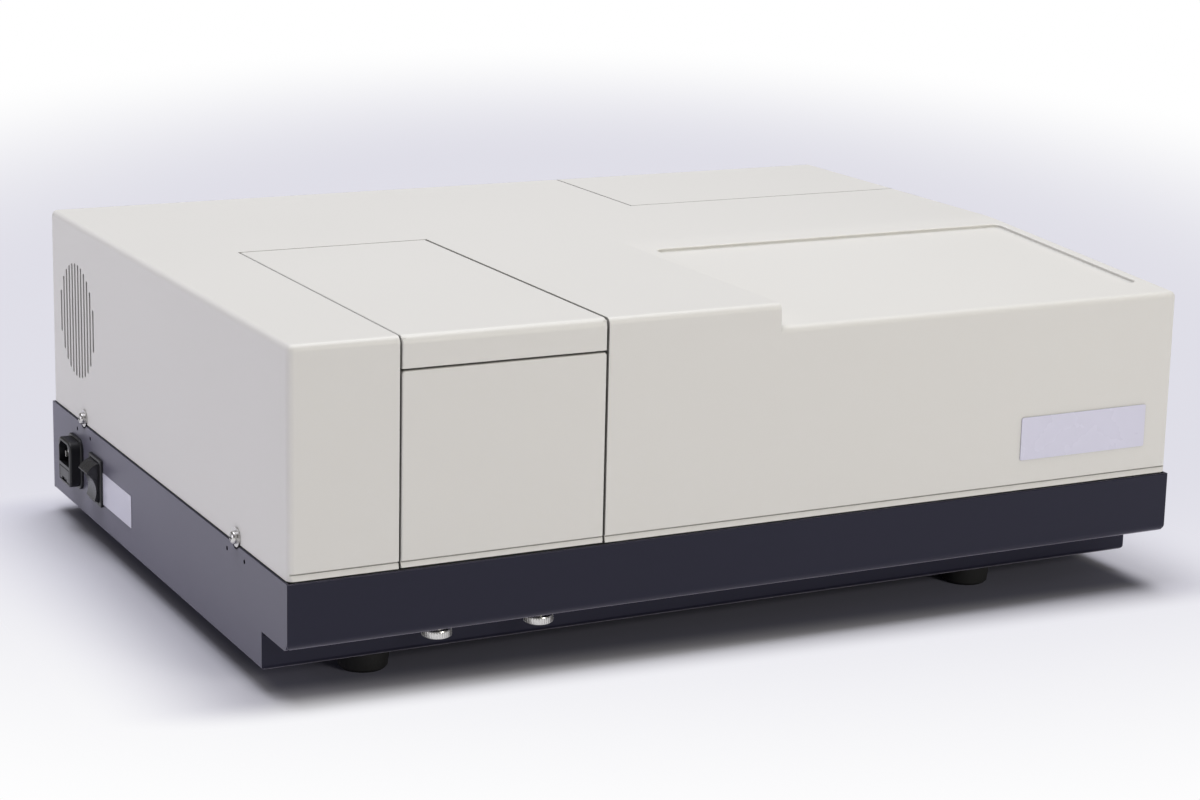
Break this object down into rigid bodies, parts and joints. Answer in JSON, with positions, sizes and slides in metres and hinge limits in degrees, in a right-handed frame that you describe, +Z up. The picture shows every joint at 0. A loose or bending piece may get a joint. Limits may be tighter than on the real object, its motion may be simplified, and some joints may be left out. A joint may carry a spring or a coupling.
{
  "type": "double-beam ultraviolet-visible spectrophotometer",
  "caption": "Benchtop optical absorption instrument: pale cover with a hinged sample lid and a sloping pocketed deck, on a dark folded base with side power inlet and rocker switch",
  "frame": {"origin": "middle of the cover's 600 by 450 mm footprint, on the surface the feet stand on", "axes": "+X to the right seen from the front, +Y from front to back, +Z up"},
  "size_m": [0.6148, 0.457, 0.21],
  "materials": {
    "cover_paint": "pale grey painted moulding, fine satin texture",
    "base_paint": "dark blue-grey satin paint on folded steel sheet",
    "foot_rubber": "black moulded rubber",
    "screw_steel": "zinc-plated steel",
    "inlet_plastic": "black moulded plastic",
    "contact_brass": "nickel-plated brass",
    "fuse_glass": "glass cartridge with metal caps",
    "fan_plastic": "black glass-filled plastic",
    "bench_aluminium": "cast and machined aluminium",
    "black_anodised": "matt black paint against stray light",
    "quartz": "polished fused quartz",
    "mirror_coating": "aluminised glass",
    "seal_foam": "black foam strip",
    "circuit_board": "green glass-fibre board with components",
    "supply_steel": "plain steel case and laminated core"
  },
  "bodies": {
    "instrument": {"amplifier_board": "circuit_board", "back_panel": "base_paint", "base_pan": "base_paint", "beam_windows": "quartz", "bench_pillars": "bench_aluminium", "board_standoffs": "screw_steel", "cell_rail": "black_anodised", "chopper_motor": "bench_aluminium", "collimating_mirror": "mirror_coating", "compartment_liner": "black_anodised", "cover_screws": "screw_steel", "cover_washers": "screw_steel", "data_port": "screw_steel", "data_port_screws": "screw_steel", "detector_lenses": "quartz", "deuterium_lamp": "quartz", "entrance_slit": "black_anodised", "exit_slit": "black_anodised", "fan_bracket": "screw_steel", "fan_frame": "fan_plastic", "filter_wheel_motor": "bench_aluminium", "focusing_mirror": "mirror_coating", "folding_mirror": "mirror_coating", "foot_screws": "screw_steel", "front_skirt": "base_paint", "grating_motor": "bench_aluminium", "inlet_blades": "contact_brass", "lamp_house": "bench_aluminium", "lid_hinge_pins": "screw_steel", "lid_seal": "seal_foam", "main_board": "circuit_board", "mirror_mounts": "bench_aluminium", "monochromator_cover": "black_anodised", "monochromator_housing": "black_anodised", "optical_bench": "black_anodised", "power_inlet": "inlet_plastic", "power_supply_and_transformer": "supply_steel", "reference_cell_holder": "black_anodised", "reference_detector": "black_anodised", "rubber_feet": "foot_rubber", "sample_beam_mirror": "mirror_coating", "sample_cell_holder": "black_anodised", "sample_detector": "black_anodised", "source_mirror_motor": "bench_aluminium", "switch_frame": "inlet_plastic", "top_cover": "cover_paint", "tungsten_lamp": "quartz"},
    "lid": {"compartment_lid": "cover_paint"},
    "front_panel": {"compartment_front_panel": "cover_paint"},
    "lamp_access_cover": {"lamp_cover": "cover_paint"},
    "left_thumb": {"left_thumb_screw": "screw_steel"},
    "right_thumb": {"right_thumb_screw": "screw_steel"},
    "rocker": {"switch_rocker": "inlet_plastic"},
    "drawer": {"fuse_drawer": "inlet_plastic", "fuse": "fuse_glass"},
    "fan": {"fan_rotor": "fan_plastic"},
    "chopper": {"chopper_disc": "mirror_coating"},
    "filters": {"filter_wheel": "black_anodised"},
    "grating": {"diffraction_grating": "mirror_coating"},
    "lamp_mirror": {"source_mirror": "mirror_coating"}
  },
  "joints": [
    {"name": "lid_hinge", "type": "hinge", "parent": "instrument", "child": "lid", "pos_m": [-0.17, 0.014, 0.204], "axis": [-1, 0, 0], "range_deg": [0, 100]},
    {"name": "front_panel_draw", "type": "slide", "parent": "instrument", "child": "front_panel", "axis": [0, -1, 0], "range_m": [0, 0.06]},
    {"name": "lamp_cover_lift", "type": "slide", "parent": "instrument", "child": "lamp_access_cover", "axis": [0, 0, 1], "range_m": [0, 0.08]},
    {"name": "left_thumb_turn", "type": "hinge", "parent": "instrument", "child": "left_thumb", "pos_m": [-0.20225, -0.205, 0.0335], "axis": [0, 0, 1], "range_deg": [0, 360]},
    {"name": "right_thumb_turn", "type": "hinge", "parent": "instrument", "child": "right_thumb", "pos_m": [-0.13775, -0.205, 0.0335], "axis": [0, 0, 1], "range_deg": [0, 360]},
    {"name": "power_rocker", "type": "hinge", "parent": "instrument", "child": "rocker", "pos_m": [-0.2992, 0.1245, 0.0463], "axis": [0, 1, 0], "range_deg": [0, 30]},
    {"name": "fuse_drawer_slide", "type": "slide", "parent": "instrument", "child": "drawer", "axis": [-1, 0, 0], "range_m": [0, 0.018]},
    {"name": "fan_spin", "type": "hinge", "parent": "instrument", "child": "fan", "pos_m": [-0.2872, 0.167, 0.1445], "axis": [1, 0, 0], "continuous": true},
    {"name": "chopper_spin", "type": "hinge", "parent": "instrument", "child": "chopper", "pos_m": [0.01, -0.015, 0.134], "axis": [0.7071, -0.7071, 0], "continuous": true},
    {"name": "filter_wheel_turn", "type": "hinge", "parent": "instrument", "child": "filters", "pos_m": [0.198, 0.087, 0.107], "axis": [0, 1, 0], "continuous": true},
    {"name": "grating_turn", "type": "hinge", "parent": "instrument", "child": "grating", "pos_m": [0.112, -0.1, 0.107], "axis": [0, 0, 1], "range_deg": [-20, 35]},
    {"name": "lamp_mirror_turn", "type": "hinge", "parent": "instrument", "child": "lamp_mirror", "pos_m": [0.18, 0.15, 0.107], "axis": [0, 0, 1], "range_deg": [-90, 0]}
  ]
}
